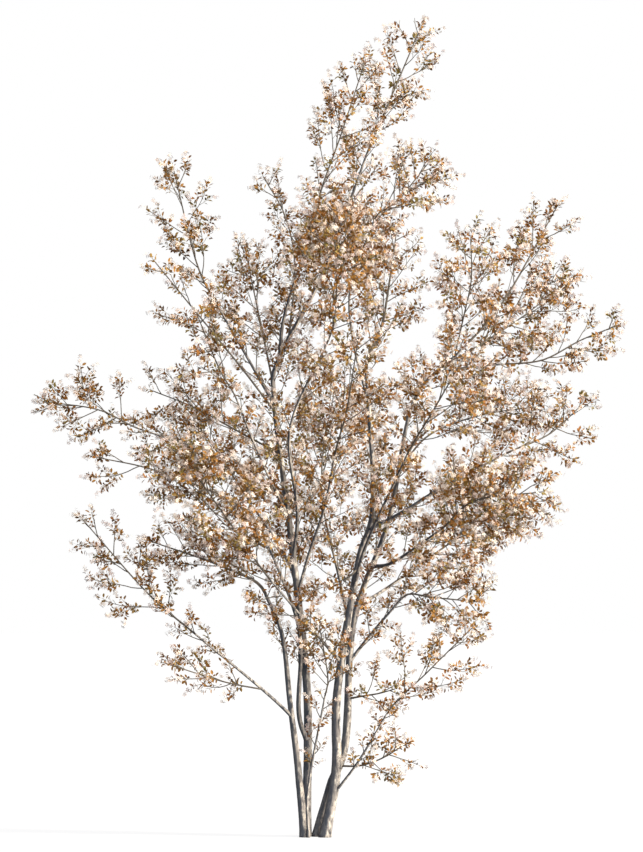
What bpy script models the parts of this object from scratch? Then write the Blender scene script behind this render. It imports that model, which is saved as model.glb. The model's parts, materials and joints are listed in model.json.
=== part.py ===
"""A multi-stemmed serviceberry shrub in spring bloom, about six metres tall.

Five stems and a thin shoot rise from one root, lean apart and fork into boughs. Each bough
carries a mass of twigs, young copper leaves and white blossom, and each stem, bough and mass
is an object of its own. Metres, +Z up, front at -Y. The origin is the middle of the flat cut
under the centre stem, and nothing lies below it.
"""

import math
import random
from typing import NamedTuple

import bmesh
import bpy
import numpy as np
from mathutils import Matrix, Vector
from mathutils.bvhtree import BVHTree

# Root flare and bark tubes
FLARE = 0.26
FLARE_HEIGHT = 0.075
FLARE_LOBES = 3
LOBE_DEPTH = 0.07
FLARE_RINGS = (0.0, 0.04, 0.10, 0.20)
TRUNK_SIDES = 7
BOUGH_SIDES = 5
TRUNK_RING_STEP = 0.18
BOUGH_RING_STEP = 0.25
SPINE_STEP = 0.02

CURVE_SAMPLES = 24
SMOOTH_ANGLE = math.radians(50)

# Clearances
SEAT_GAP = 0.0003
SPACE_GAP = 0.016
LIMB_GAP = 0.010
GROUND_GAP = 0.05
CUTTER_OVERRUN = 0.03

# The growth rule of a mass
TWIG_STEP = 0.195
TWIG_LEAN = math.radians(54)
TWIG_LEAN_SPREAD = 0.15
TWIG_TURN_SPREAD = 0.4
TWIG_LIFT = 0.22
TWIG_SIDES = 3
TWIG_LENGTHS = (1.0, 0.8, 0.6, 0.42)
TWIG_LENGTH_SPREAD = (0.95, 1.15)
TWIG_LEAST_ROOM = 0.45
TWIG_TESTS = (0.3, 0.5, 0.7, 0.85, 1.0)
TWIG_FOOT = 0.72
TWIG_TAPER = 0.45
SIDE_STEM_RADIUS = 0.008
SIDE_STEM_SHARE = 0.6
STEM_SIDES = 4
STEM_RING_STEP = 0.34
STEM_TIP_RADIUS = 0.0045
GOLDEN_ANGLE = math.radians(137.5)
ROOM_AT_ENDS = 0.38
ROOM_FULLNESS = 0.7
ROOM_BY_BARE_STEM = 0.10
ROOM_SAMPLES = 14

# Leaves and blossom, each standing for the spray or cluster in its place
LEAF_STEP = 0.21
LEAF_START = 0.8
LEAF_END = 0.3
LEAF_LENGTH = 0.29
LEAF_LENGTH_SPREAD = (0.9, 1.1)
LEAF_REACH_SHARE = 0.75
LEAF_TILT = 0.5
LEAF_STEEPEST = 0.9
LEAF_WIDTH = 0.60
LEAF_THICKNESS = 0.05
LEAF_SHOULDER = 0.42
LEAF_SINK = 0.6
TIP_LEAF_SINK = 1.6
LEAF_SPREAD = math.radians(48)
LEAF_TRIES = 8
LEAF_SHRINK = 0.06
LEAF_ROOM = 0.62
BLOSSOM_RADIUS = 0.055
BLOSSOM_WAIST = 0.42
BLOSSOM_THICKNESS = 0.012
BLOSSOM_SINK = 0.4
BLOSSOM_PETALS = 5

# Colours
TRUNK_COLOUR = (0.33, 0.29, 0.25)
BOUGH_COLOUR = (0.27, 0.24, 0.21)
TWIG_COLOUR = (0.24, 0.20, 0.17)
LEAF_COLOUR = (0.40, 0.21, 0.12)
BLOSSOM_COLOUR = (0.86, 0.80, 0.80)
BARK_ROUGHNESS = 0.8
LEAF_ROUGHNESS = 0.6

UP = Vector((0.0, 0.0, 1.0))


class Limb(NamedTuple):
    """A stem or bough: where it leaves its parent, the points it bends through, its radii."""

    name: str
    parent: str
    share: float
    route: tuple
    foot_radius: float
    tip_radius: float


class Mass(NamedTuple):
    """A mass of foliage: the limb and place it grows from, its own stem, its reach."""

    name: str
    limb: str
    share: float
    route: tuple
    reach: float
    bare: float = 0.10


TRUNKS = (
    Limb("centre_stem", "", 0.0, ((0.00, 0.00, 0.00), (0.08, 0.00, 0.47), (0.09, 0.00, 1.05),
         (0.24, 0.00, 1.97), (0.35, -0.02, 2.40), (0.30, -0.06, 3.37)), 0.038, 0.013),
    Limb("right_stem", "", 0.0, ((-0.058, 0.066, 0.00), (0.04, 0.11, 0.36), (0.15, 0.13, 0.69),
         (0.21, 0.16, 1.55), (0.47, 0.20, 2.29), (0.65, 0.17, 3.15), (1.00, 0.06, 3.53)),
         0.034, 0.009),
    Limb("back_stem", "", 0.0, ((-0.135, 0.070, 0.00), (-0.13, 0.10, 1.05), (-0.25, 0.08, 2.18),
         (-0.37, 0.02, 3.16), (-0.33, 0.03, 3.47), (-0.01, 0.09, 4.10), (0.31, 0.12, 4.98)),
         0.034, 0.008),
    Limb("left_stem", "", 0.0, ((-0.147, 0.001, 0.00), (-0.20, -0.02, 0.55), (-0.25, -0.02, 0.95),
         (-0.31, -0.03, 1.45), (-0.43, -0.06, 1.75)), 0.030, 0.012),
    Limb("front_shoot", "", 0.0, ((-0.119, -0.034, 0.00), (-0.12, -0.09, 0.36),
         (0.00, -0.18, 1.02)), 0.011, 0.006),
    Limb("inner_stem", "back_stem", 0.13, ((-0.19, 0.05, 0.90), (-0.19, 0.02, 1.50),
         (-0.41, -0.14, 2.11)), 0.019, 0.009),
)

BOUGHS = (
    Limb("low_left_bough", "left_stem", 0.49,
         ((-0.46, -0.08, 1.07), (-0.95, -0.26, 1.48)), 0.012, 0.007),
    Limb("far_left_bough", "back_stem", 0.47,
         ((-0.46, 0.02, 2.58), (-0.73, 0.02, 2.74), (-1.34, -0.02, 2.94)), 0.013, 0.006),
    Limb("left_rise_bough", "back_stem", 0.45,
         ((-0.46, -0.16, 2.71), (-0.63, -0.32, 3.13)), 0.010, 0.006),
    Limb("up_left_bough", "back_stem", 0.61,
         ((-0.51, 0.03, 3.37), (-0.79, 0.05, 3.86)), 0.012, 0.007),
    Limb("inner_bough", "back_stem", 0.39,
         ((-0.20, -0.04, 2.35), (-0.25, -0.16, 2.94), (0.01, -0.30, 3.53)), 0.015, 0.007),
    Limb("upper_left_bough", "back_stem", 0.68,
         ((-0.29, -0.05, 3.78), (-0.09, -0.13, 4.40)), 0.014, 0.007),
    Limb("centre_bough", "back_stem", 0.34,
         ((-0.12, -0.02, 2.02), (0.00, -0.28, 2.38), (0.07, -0.55, 2.73)), 0.013, 0.007),
    Limb("back_left_bough", "back_stem", 0.33,
         ((-0.28, 0.36, 2.00), (-0.63, 0.92, 2.54)), 0.013, 0.007),
    Limb("top_right_bough", "centre_stem", 0.93,
         ((0.20, -0.10, 3.60), (0.19, -0.11, 3.98), (0.36, -0.12, 4.46)), 0.011, 0.006),
    Limb("low_right_bough", "centre_stem", 0.09,
         ((0.24, -0.12, 0.55), (0.44, -0.22, 0.89)), 0.010, 0.006),
    Limb("right_long_bough", "centre_stem", 0.66,
         ((0.55, -0.09, 2.33), (0.84, -0.12, 2.51), (1.31, -0.10, 2.76)), 0.015, 0.007),
    Limb("front_left_bough", "centre_stem", 0.37,
         ((-0.02, -0.14, 1.41), (-0.39, -0.46, 1.85)), 0.011, 0.007),
    Limb("front_right_bough", "centre_stem", 0.53,
         ((0.30, -0.32, 2.11), (0.57, -0.88, 2.71)), 0.013, 0.007),
    Limb("right_low_bough", "right_stem", 0.34,
         ((0.33, 0.12, 1.45), (0.56, 0.02, 1.72)), 0.013, 0.007),
    Limb("right_back_bough", "right_stem", 0.45,
         ((0.44, 0.34, 1.78), (0.84, 0.68, 2.06)), 0.013, 0.007),
    Limb("right_mid_bough", "right_stem", 0.53,
         ((0.50, 0.06, 1.98), (0.82, -0.32, 2.20)), 0.013, 0.007),
    Limb("far_right_bough", "right_stem", 0.93,
         ((1.08, 0.16, 3.41), (1.32, 0.16, 3.43)), 0.010, 0.007),
    Limb("back_bough", "right_stem", 0.38,
         ((0.14, 0.42, 1.71), (0.01, 0.95, 2.29)), 0.014, 0.007),
)

MASSES = (
    Mass("top", "back_stem", 1.0, ((0.43, 0.11, 5.26), (0.70, 0.10, 5.90)), 0.30),
    Mass("top_left", "upper_left_bough", 1.0,
         ((-0.02, -0.16, 4.69), (0.11, -0.18, 5.05), (0.28, -0.18, 5.57)), 0.30),
    Mass("top_right", "top_right_bough", 1.0, ((0.53, -0.12, 4.60), (0.74, -0.10, 4.86)), 0.33),
    Mass("upper_small", "back_stem", 0.71,
         ((-0.22, 0.10, 4.14), (-0.29, 0.10, 4.51), (-0.44, 0.05, 4.78)), 0.24, 0.45),
    Mass("crown_front", "inner_bough", 1.0, ((0.08, -0.58, 3.84), (0.06, -0.95, 4.42)), 0.40),
    Mass("crown_back", "back_stem", 0.80, ((0.07, 0.45, 4.26), (0.31, 0.95, 4.60)), 0.40, 0.25),
    Mass("crown_right", "centre_stem", 1.0, ((0.42, 0.00, 3.72), (0.52, 0.08, 4.36)), 0.31),
    Mass("crown_left", "back_stem", 0.64, ((-0.46, 0.36, 3.67), (-0.60, 0.76, 4.34)), 0.35, 0.25),
    Mass("up_left", "up_left_bough", 1.0, ((-0.94, 0.04, 4.17), (-1.11, 0.02, 4.86)), 0.31),
    Mass("up_left_side", "back_stem", 0.60,
         ((-0.62, -0.12, 3.40), (-0.92, -0.26, 3.76), (-1.21, -0.38, 4.11)), 0.27, 0.35),
    Mass("left_rise", "left_rise_bough", 1.0,
         ((-0.75, -0.54, 3.34), (-0.88, -0.90, 3.66)), 0.33),
    Mass("left_crest", "back_stem", 0.54,
         ((-0.62, 0.20, 2.93), (-0.98, 0.34, 3.13), (-1.27, 0.42, 3.25)), 0.37, 0.30),
    Mass("far_left", "far_left_bough", 1.0, ((-1.64, -0.03, 3.08), (-2.03, -0.02, 3.14)), 0.30),
    Mass("left_back", "back_left_bough", 1.0, ((-0.80, 1.15, 2.80), (-1.05, 1.45, 3.16)), 0.43),
    Mass("left_front", "front_left_bough", 1.0,
         ((-0.62, -0.75, 2.18), (-0.95, -1.20, 2.65)), 0.43),
    Mass("left_inner", "inner_stem", 1.0,
         ((-0.65, -0.30, 2.40), (-1.20, -0.42, 2.62), (-1.60, -0.46, 2.71)), 0.35),
    Mass("left_lower", "left_stem", 1.0, ((-0.73, -0.05, 1.94), (-1.24, 0.04, 2.12)), 0.32),
    Mass("low_left", "low_left_bough", 1.0, ((-1.27, -0.34, 1.76), (-1.70, -0.42, 2.25)), 0.30),
    Mass("low_left_side", "low_left_bough", 0.30,
         ((-0.72, -0.22, 1.12), (-1.12, -0.34, 1.25)), 0.20, 0.15),
    Mass("low_right", "low_right_bough", 1.0, ((0.73, -0.26, 1.19), (1.03, -0.32, 1.49)), 0.32),
    Mass("low_right_side", "right_stem", 0.14,
         ((0.26, 0.04, 0.51), (0.42, -0.02, 0.57), (0.56, -0.08, 0.66)), 0.24, 0.30),
    Mass("low_centre", "right_stem", 0.27,
         ((0.28, 0.06, 1.01), (0.39, 0.00, 1.03), (0.49, -0.06, 1.06)), 0.27, 0.20),
    Mass("shoot_spray", "front_shoot", 1.0, ((0.02, -0.22, 1.16), (-0.04, -0.30, 1.52)), 0.25),
    Mass("centre_low", "centre_stem", 0.57,
         ((0.14, -0.22, 1.84), (0.13, -0.52, 1.88)), 0.34, 0.20),
    Mass("centre_front", "centre_bough", 1.0, ((0.15, -0.85, 3.02), (0.22, -1.15, 3.45)), 0.43),
    Mass("back", "back_bough", 1.0, ((-0.02, 1.25, 2.76), (0.07, 1.62, 3.31)), 0.46),
    Mass("right_low", "right_low_bough", 1.0, ((0.78, -0.10, 1.72), (1.08, -0.24, 1.69)), 0.36),
    Mass("right_lobe_back", "right_back_bough", 1.0,
         ((1.09, 0.95, 2.25), (1.31, 1.25, 2.51)), 0.42),
    Mass("right_lobe_front", "right_mid_bough", 1.0,
         ((1.05, -0.60, 2.40), (1.49, -0.88, 2.45)), 0.39),
    Mass("right_long", "right_long_bough", 1.0, ((1.62, -0.05, 2.90), (1.87, 0.00, 3.12)), 0.34),
    Mass("right_long_side", "right_stem", 0.72,
         ((0.76, 0.28, 2.91), (1.14, 0.27, 3.06), (1.58, 0.16, 3.12)), 0.36, 0.35),
    Mass("far_right", "far_right_bough", 1.0,
         ((1.60, 0.14, 3.46), (1.87, 0.11, 3.60), (2.12, 0.08, 3.70)), 0.26),
    Mass("right_shoulder", "right_stem", 0.95,
         ((1.18, 0.34, 3.61), (1.52, 0.58, 3.85), (1.84, 0.78, 4.12)), 0.34, 0.25),
    Mass("right_crest", "right_stem", 1.0, ((1.31, 0.10, 3.89), (1.69, 0.14, 4.56)), 0.33),
    Mass("right_up", "right_stem", 0.98,
         ((1.00, -0.18, 3.74), (1.04, -0.50, 3.98), (1.02, -0.80, 4.22)), 0.33, 0.20),
    Mass("front_right", "front_right_bough", 1.0,
         ((0.73, -1.15, 2.98), (0.92, -1.45, 3.31)), 0.46),
)


class Spine:
    """A smooth curve through a few points, with a radius that tapers along it."""

    def __init__(self, points, foot_radius, tip_radius, heading=None, grounded=False):
        self.points = resample(smooth_curve(points, heading), SPINE_STEP)
        steps = np.linalg.norm(np.diff(self.points, axis=0), axis=1)
        self.distances = np.concatenate(([0.0], np.cumsum(steps)))
        self.length = float(self.distances[-1])
        self.start_heading = heading
        self.foot_radius = foot_radius
        self.tip_radius = tip_radius
        self.grounded = grounded

    def place(self, share):
        """The point at a share of the length, and the heading there."""
        distance = share * self.length
        here = self.point_at(distance)
        ahead = self.point_at(min(self.length, distance + SPINE_STEP))
        behind = self.point_at(max(0.0, distance - SPINE_STEP))
        if share == 0.0 and self.start_heading:
            return here, self.start_heading.copy()
        return here, (ahead - behind).normalized()

    def point_at(self, distance):
        return Vector([float(np.interp(distance, self.distances, self.points[:, axis]))
                       for axis in range(3)])

    def radius(self, share):
        radius = self.foot_radius + (self.tip_radius - self.foot_radius) * share
        return radius * (1.0 + FLARE * self.flare(share))

    def flare(self, share):
        """How much of the root flare is left at a share of the length."""
        return math.exp(-share * self.length / FLARE_HEIGHT) if self.grounded else 0.0


def smooth_curve(points, heading):
    """Points of a Catmull-Rom curve, leaving its first point along the heading if one is given."""
    knots = [np.array(point, dtype=float) for point in points]
    span = np.linalg.norm(knots[1] - knots[0])
    before = 2.0 * knots[0] - knots[1]
    if heading is not None:
        before = knots[1] - 2.0 * span * np.array(heading)
    knots = [before, *knots, 2.0 * knots[-1] - knots[-2]]
    curve = []
    for first in range(len(knots) - 3):
        a, b, c, d = knots[first:first + 4]
        for t in np.linspace(0.0, 1.0, CURVE_SAMPLES, endpoint=False):
            curve.append(0.5 * (2.0 * b + (c - a) * t + (2.0 * a - 5.0 * b + 4.0 * c - d) * t ** 2
                                + (3.0 * b - a - 3.0 * c + d) * t ** 3))
    curve.append(knots[-2])
    return np.array(curve)


def resample(curve, step):
    """The same curve in points that lie an even step apart."""
    distances = np.concatenate(([0.0], np.cumsum(np.linalg.norm(np.diff(curve, axis=0), axis=1))))
    count = max(2, round(distances[-1] / step) + 1)
    even = np.linspace(0.0, distances[-1], count)
    return np.column_stack([np.interp(even, distances, curve[:, axis]) for axis in range(3)])


def ring_shares(spine, step):
    """The shares of a spine's length that get a ring, closer together on a root flare."""
    start = 0.0
    shares = []
    if spine.grounded:
        shares = [distance / spine.length for distance in FLARE_RINGS[:-1]]
        start = FLARE_RINGS[-1]
    count = max(2, round((spine.length - start) / step))
    return shares + [float(share) for share in np.linspace(start / spine.length, 1.0, count + 1)]


def tube(spine, sides, shares, grow=0.0, overrun=0.0):
    """A closed tube round a spine, cut level at Z = 0 if grounded, or run past its foot."""
    verts = []
    side_axis = None
    for number, share in enumerate(shares):
        centre, heading = spine.place(share)
        if side_axis is None:
            side_axis = heading.orthogonal()
        side_axis = (side_axis - heading * side_axis.dot(heading)).normalized()
        other_axis = heading.cross(side_axis)
        for side in range(sides):
            angle = 2.0 * math.pi * side / sides
            lobe = 1.0 + LOBE_DEPTH * spine.flare(share) * math.cos(FLARE_LOBES * angle)
            radius = spine.radius(share) * lobe + grow
            corner = centre + (side_axis * math.cos(angle) + other_axis * math.sin(angle)) * radius
            if spine.grounded and number == 0:
                corner -= heading * (corner.z / heading.z)
            verts.append(corner)
    if overrun:
        heading = spine.place(0.0)[1]
        verts = [corner - heading * overrun for corner in verts[:sides]] + verts
    faces = []
    for ring in range(len(verts) // sides - 1):
        for side in range(sides):
            low, low_next = ring * sides + side, ring * sides + (side + 1) % sides
            high, high_next = low + sides, low_next + sides
            if len(verts) == 2 * sides:
                faces.append((low, low_next, high_next, high))
            else:
                faces += [(low, low_next, high_next), (low, high_next, high)]
    faces.append(tuple(reversed(range(sides))))
    faces.append(tuple(range(len(verts) - sides, len(verts))))
    return verts, faces


def leaf(start, heading, normal, length):
    """A flat eight-faced leaf that widens from a point at its root to its shoulder."""
    across = heading.cross(normal).normalized()
    through = across.cross(heading).normalized()
    middle = start + heading * (LEAF_SHOULDER * length)
    half_width = across * (0.5 * LEAF_WIDTH * length)
    half_depth = through * (0.5 * LEAF_THICKNESS * length)
    verts = [start, start + heading * length, middle + half_width, middle - half_width,
             middle + half_depth, middle - half_depth]
    faces = [(0, 3, 4), (0, 4, 2), (0, 2, 5), (0, 5, 3), (1, 4, 3), (1, 2, 4), (1, 5, 2), (1, 3, 5)]
    return verts, faces


def leaf_samples(verts):
    """Points spread over a leaf, by which it is tested against its space and the limbs."""
    root, tip, left, right = verts[:4]
    middle = (left + right) * 0.5
    ribs = [root.lerp(middle, 0.5), middle, middle.lerp(tip, 0.5), tip]
    corners = [left, right]
    edges = [corner.lerp(end, 0.5) for corner in corners for end in (root, tip)]
    return ribs + corners + edges


def blossom(centre, facing):
    """A flat star of petals round a raised centre."""
    side_axis = facing.orthogonal().normalized()
    other_axis = facing.cross(side_axis)
    verts = []
    corners = 2 * BLOSSOM_PETALS
    for corner in range(corners):
        angle = 2.0 * math.pi * corner / corners
        radius = BLOSSOM_RADIUS * (BLOSSOM_WAIST if corner % 2 else 1.0)
        verts.append(centre + (side_axis * math.cos(angle) + other_axis * math.sin(angle)) * radius)
    verts += [centre + facing * (0.5 * BLOSSOM_THICKNESS), centre - facing * (0.5 * BLOSSOM_THICKNESS)]
    front, rear = corners, corners + 1
    faces = []
    for corner in range(corners):
        following = (corner + 1) % corners
        faces += [(corner, following, front), (following, corner, rear)]
    return verts, faces


def room_share(mass, share):
    """How much of a mass's reach its twigs have at a share of its stem."""
    if share < mass.bare:
        return ROOM_BY_BARE_STEM
    leafy = (share - mass.bare) / (1.0 - mass.bare)
    return ROOM_AT_ENDS + (1.0 - ROOM_AT_ENDS) * math.sin(math.pi * leafy) ** ROOM_FULLNESS


class Spaces:
    """The room that each mass keeps to, as balls along its stem, and the limbs to stay clear of."""

    def __init__(self, spines):
        self.shares = np.linspace(0.0, 1.0, ROOM_SAMPLES)
        self.centres = []
        self.radii = []
        for mass in MASSES:
            for share in self.shares:
                self.centres.append(spines[mass.name].place(share)[0])
                self.radii.append(mass.reach * room_share(mass, share))
        self.centres = np.array(self.centres)
        self.radii = np.array(self.radii)
        limb_spines = [spines[limb.name] for limb in TRUNKS + BOUGHS]
        self.limb_points = np.concatenate([spine.points for spine in limb_spines])
        self.limb_radii = np.concatenate([
            [spine.radius(share) for share in np.linspace(0.0, 1.0, len(spine.points))]
            for spine in limb_spines])

    def keeps_in(self, number, points):
        """Whether all the points lie in the room of one mass and nearer to it than to any other."""
        points = np.array(points)
        offsets = points[:, None, :] - self.centres[None, :, :]
        filled = np.linalg.norm(offsets, axis=2) / self.radii
        filled = filled.reshape(len(points), len(MASSES), ROOM_SAMPLES).min(axis=2)
        own = filled[:, number].copy()
        filled[:, number] = np.inf
        margin = SPACE_GAP / MASSES[number].reach
        return bool(np.all(own < 1.0) and np.all(own + margin < filled.min(axis=1)))

    def clear_of_limbs(self, points):
        """Whether all the points stay off every stem and bough, and above the ground."""
        points = np.array(points)
        offsets = points[:, None, :] - self.limb_points[None, :, :]
        clearance = np.linalg.norm(offsets, axis=2) - self.limb_radii
        return bool(clearance.min() > LIMB_GAP and points[:, 2].min() > GROUND_GAP)


def side_heading(heading, angle, lean):
    """A heading that leans off another one, at an angle round it."""
    side_axis = heading.orthogonal().normalized()
    side_axis.rotate(Matrix.Rotation(angle, 3, heading))
    return (heading * math.cos(lean) + side_axis * math.sin(lean)).normalized()


def grow_mass(number, mass, spine, spaces):
    """The twigs, leaves and blossoms of a mass, as lists of loose shapes."""
    rng = random.Random(mass.name)
    leaf_length = min(LEAF_LENGTH, LEAF_REACH_SHARE * mass.reach)
    twigs, leaves, blossoms, outlines = [], [], [], []

    def fits(points):
        return spaces.keeps_in(number, points) and spaces.clear_of_limbs(points)

    def add_leaf(place, along, lean, sink, longest=leaf_length):
        """Tries a leaf at a few turns round its twig and adds the first that fits."""
        turn = rng.uniform(0.0, 2.0 * math.pi)
        for attempt in range(LEAF_TRIES):
            heading = side_heading(along, turn + attempt * GOLDEN_ANGLE, lean)
            tilt = Vector((rng.uniform(-LEAF_TILT, LEAF_TILT), rng.uniform(-LEAF_TILT, LEAF_TILT), 0.0))
            normal = (UP + tilt).normalized()
            if abs(normal.dot(heading)) > LEAF_STEEPEST:
                normal = heading.orthogonal().normalized()
            length = longest * rng.uniform(*LEAF_LENGTH_SPREAD) * (1.0 - LEAF_SHRINK * attempt)
            verts, faces = leaf(place - heading * sink, heading, normal, length)
            outline = BVHTree.FromPolygons(verts, faces)
            if fits(leaf_samples(verts)) and not any(outline.overlap(other) for other in outlines):
                leaves.append((verts, faces))
                outlines.append(outline)
                return

    count = max(3, round(spine.length * (1.0 - mass.bare) / TWIG_STEP))
    for twig_number in range(count):
        share = mass.bare + (1.0 - mass.bare) * (twig_number + 0.5) / count
        root, stem_heading = spine.place(share)
        angle = twig_number * GOLDEN_ANGLE + rng.uniform(-TWIG_TURN_SPREAD, TWIG_TURN_SPREAD)
        lean = TWIG_LEAN + rng.uniform(-TWIG_LEAN_SPREAD, TWIG_LEAN_SPREAD)
        heading = (side_heading(stem_heading, angle, lean) + UP * TWIG_LIFT).normalized()
        room = mass.reach * room_share(mass, share)
        full_length = max(TWIG_LEAST_ROOM * room, room - LEAF_ROOM * leaf_length)
        full_length *= rng.uniform(*TWIG_LENGTH_SPREAD)
        for length_share in TWIG_LENGTHS:
            tip = root + heading * (full_length * length_share)
            if fits([root.lerp(tip, part) for part in TWIG_TESTS]):
                break
        else:
            continue
        foot_radius = TWIG_FOOT * spine.radius(share)
        twig = Spine((root, tip), foot_radius, TWIG_TAPER * foot_radius)
        twigs.append(tube(twig, TWIG_SIDES, (0.0, 1.0)))
        leaf_count = max(1, round(twig.length / LEAF_STEP))
        for leaf_number in range(leaf_count):
            leaf_share = (leaf_number + LEAF_START) / (leaf_count + LEAF_END)
            place, along = twig.place(leaf_share)
            add_leaf(place, along, LEAF_SPREAD, LEAF_SINK * twig.radius(leaf_share))
        place, along = twig.place(1.0)
        star = blossom(place - along * (BLOSSOM_SINK * BLOSSOM_THICKNESS), along)
        if twig_number == count // 2 and fits(star[0]):
            blossoms.append(star)
        else:
            add_leaf(place, along, 0.0, TIP_LEAF_SINK * twig.tip_radius)
        if twig_number % 2:
            add_leaf(root, stem_heading, TWIG_LEAN, LEAF_SINK * spine.radius(share))
    place, along = spine.place(1.0)
    add_leaf(place, along, 0.0, TIP_LEAF_SINK * spine.tip_radius, ROOM_AT_ENDS * mass.reach)
    return twigs, leaves, blossoms


def finish(name, colour, roughness):
    """A material of one plain finish."""
    material = bpy.data.materials.new(name)
    material.use_nodes = True
    shader = material.node_tree.nodes["Principled BSDF"]
    shader.inputs["Base Color"].default_value = (*colour, 1.0)
    shader.inputs["Roughness"].default_value = roughness
    shader.inputs["Metallic"].default_value = 0.0
    material.diffuse_color = (*colour, 1.0)
    return material


def make_object(name, shape, material):
    verts, faces = shape
    mesh = bpy.data.meshes.new(name)
    mesh.from_pydata([tuple(vert) for vert in verts], [], faces)
    mesh.materials.append(material)
    made = bpy.data.objects.new(name, mesh)
    bpy.context.scene.collection.objects.link(made)
    return made


def drop(made):
    mesh = made.data
    bpy.data.objects.remove(made)
    bpy.data.meshes.remove(mesh)


def evaluated_mesh(made):
    bpy.context.view_layer.update()
    depsgraph = bpy.context.evaluated_depsgraph_get()
    return bpy.data.meshes.new_from_object(made.evaluated_get(depsgraph), depsgraph=depsgraph)


def replace_mesh(made, mesh):
    old = made.data
    made.modifiers.clear()
    made.data = mesh
    mesh.name = made.name
    bpy.data.meshes.remove(old)


def seat_against(made, shape):
    """Cuts an object back where it meets a neighbour's enlarged shape."""
    cutter = make_object("cutter", shape, made.data.materials[0])
    seat = made.modifiers.new("Seat", "BOOLEAN")
    seat.operation = "DIFFERENCE"
    seat.solver = "EXACT"
    seat.object = cutter
    mesh = evaluated_mesh(made)
    keep_largest_body(mesh)
    replace_mesh(made, mesh)
    drop(cutter)


def keep_largest_body(mesh):
    """Drops loose scraps and sealed hollows, and says whether what is left is closed."""
    shape = bmesh.new()
    shape.from_mesh(mesh)
    shape.verts.index_update()
    unseen = set(shape.verts)
    bodies = []
    while unseen:
        body = {unseen.pop()}
        front = list(body)
        while front:
            vert = front.pop()
            for edge in vert.link_edges:
                other = edge.other_vert(vert)
                if other in unseen:
                    unseen.discard(other)
                    body.add(other)
                    front.append(other)
        bodies.append(body)
    largest = max(bodies, key=len)
    scraps = [vert for body in bodies if body is not largest for vert in body]
    bmesh.ops.delete(shape, geom=scraps, context="VERTS")
    closed = all(edge.is_manifold and edge.is_contiguous for edge in shape.edges)
    shape.to_mesh(mesh)
    shape.free()
    return closed


def join(made, pieces):
    """Joins the pieces to an object by one union on a collection."""
    group = bpy.data.collections.new("pieces")
    bpy.context.scene.collection.children.link(group)
    for piece in pieces:
        bpy.context.scene.collection.objects.unlink(piece)
        group.objects.link(piece)
    union = made.modifiers.new("Join", "BOOLEAN")
    union.operation = "UNION"
    union.operand_type = "COLLECTION"
    union.collection = group
    union.material_mode = "TRANSFER"
    joined = None
    for solver in ("EXACT", "MANIFOLD"):
        union.solver = solver
        mesh = evaluated_mesh(made)
        if keep_largest_body(mesh):
            joined = mesh
            break
        bpy.data.meshes.remove(mesh)
    for piece in pieces:
        drop(piece)
    bpy.data.collections.remove(group)
    if joined is None:
        raise RuntimeError(f"{made.name} did not join into one closed body")
    replace_mesh(made, joined)


def trace_spines():
    """The spine of every limb and mass, each starting on the limb that carries it."""
    spines = {}
    for limb in TRUNKS + BOUGHS:
        if limb.parent:
            root = spines[limb.parent].place(limb.share)[0]
            spines[limb.name] = Spine((root, *limb.route), limb.foot_radius, limb.tip_radius)
        else:
            spines[limb.name] = Spine(limb.route, limb.foot_radius, limb.tip_radius, grounded=True)
    for mass in MASSES:
        carrier = spines[mass.limb]
        root, heading = carrier.place(mass.share)
        if mass.share == 1.0:
            root += heading * SEAT_GAP
            radius = carrier.tip_radius
        else:
            heading = None
            radius = min(SIDE_STEM_RADIUS, SIDE_STEM_SHARE * carrier.radius(mass.share))
        spines[mass.name] = Spine((root, *mass.route), radius, STEM_TIP_RADIUS, heading)
    return spines


def limb_detail(name):
    """The sides and the ring step of a limb's tube: finer on a stem than on a bough."""
    if any(trunk.name == name for trunk in TRUNKS):
        return TRUNK_SIDES, TRUNK_RING_STEP
    return BOUGH_SIDES, BOUGH_RING_STEP


def limb_shape(name, spine, grow=0.0, overrun=0.0):
    sides, ring_step = limb_detail(name)
    return tube(spine, sides, ring_shares(spine, ring_step), grow, overrun)


def clearance_shape(name, spine):
    """The shape of a limb, enlarged by the seat's gap, that cuts what meets its side."""
    grow = SEAT_GAP / math.cos(math.pi / limb_detail(name)[0])
    return limb_shape(name, spine, grow, CUTTER_OVERRUN)


def feet_meet(spine, other):
    """Whether the root flares of two stems would run into each other."""
    if not (spine.grounded and other.grounded):
        return False
    distance = (spine.place(0.0)[0] - other.place(0.0)[0]).length
    return distance < (spine.radius(0.0) + other.radius(0.0)) * (1.0 + LOBE_DEPTH) + SEAT_GAP


def build_limb(limb, spines, neighbours):
    """A stem or bough, cut back from the stem that carries it and from stems beside its foot."""
    spine = spines[limb.name]
    colour = TRUNK_COLOUR if limb in TRUNKS else BOUGH_COLOUR
    bark = finish(limb.name + "_bark", colour, BARK_ROUGHNESS)
    made = make_object(limb.name, limb_shape(limb.name, spine), bark)
    if limb.parent:
        seat_against(made, clearance_shape(limb.parent, spines[limb.parent]))
    for neighbour in neighbours:
        if feet_meet(spine, spines[neighbour.name]):
            seat_against(made, clearance_shape(neighbour.name, spines[neighbour.name]))
    made.data.shade_smooth()
    made.data.set_sharp_from_angle(angle=SMOOTH_ANGLE)


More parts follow.
